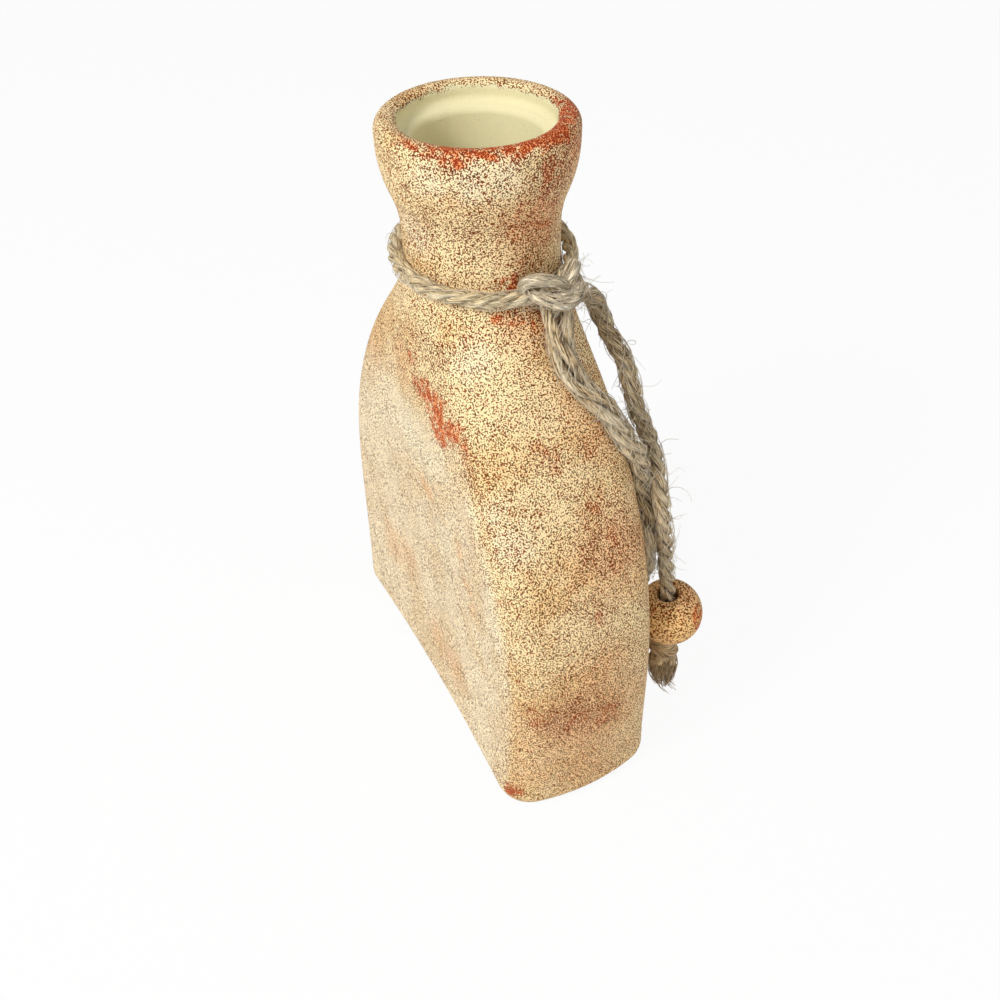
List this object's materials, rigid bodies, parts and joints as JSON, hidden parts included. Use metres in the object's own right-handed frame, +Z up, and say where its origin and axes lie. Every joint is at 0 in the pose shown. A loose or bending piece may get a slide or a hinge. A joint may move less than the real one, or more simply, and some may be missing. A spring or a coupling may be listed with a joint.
{
  "type": "pillow vase",
  "caption": "Flattened ceramic vase with a round flared neck, tied with jute twine whose longer tail carries a sliding ceramic bead; holds cut or dried flowers.",
  "frame": {"origin": "centre of the vase body's footprint, on the table", "axes": "+Z up along the neck; X along the wide side; the broad faces look along -Y and +Y; the knot, the tails and the bead hang on the -X, -Y corner"},
  "size_m": [0.1332, 0.0724, 0.2],
  "materials": {
    "speckled_glaze": "satin cream glaze with dense rust-brown specks and terracotta patches",
    "jute": "rough three-ply jute with loose fibres"
  },
  "bodies": {
    "vase": {"vase_body": "speckled_glaze", "neck_loop": "jute", "neck_knot": "jute", "tail_long": "jute", "tail_short": "jute", "end_knot": "jute"},
    "bead": {"bead": "speckled_glaze"}
  },
  "joints": [
    {"name": "bead_slide", "type": "slide", "parent": "vase", "child": "bead", "axis": [0.0452, 0.1035, 0.9936], "range_m": [0, 0.008]}
  ]
}
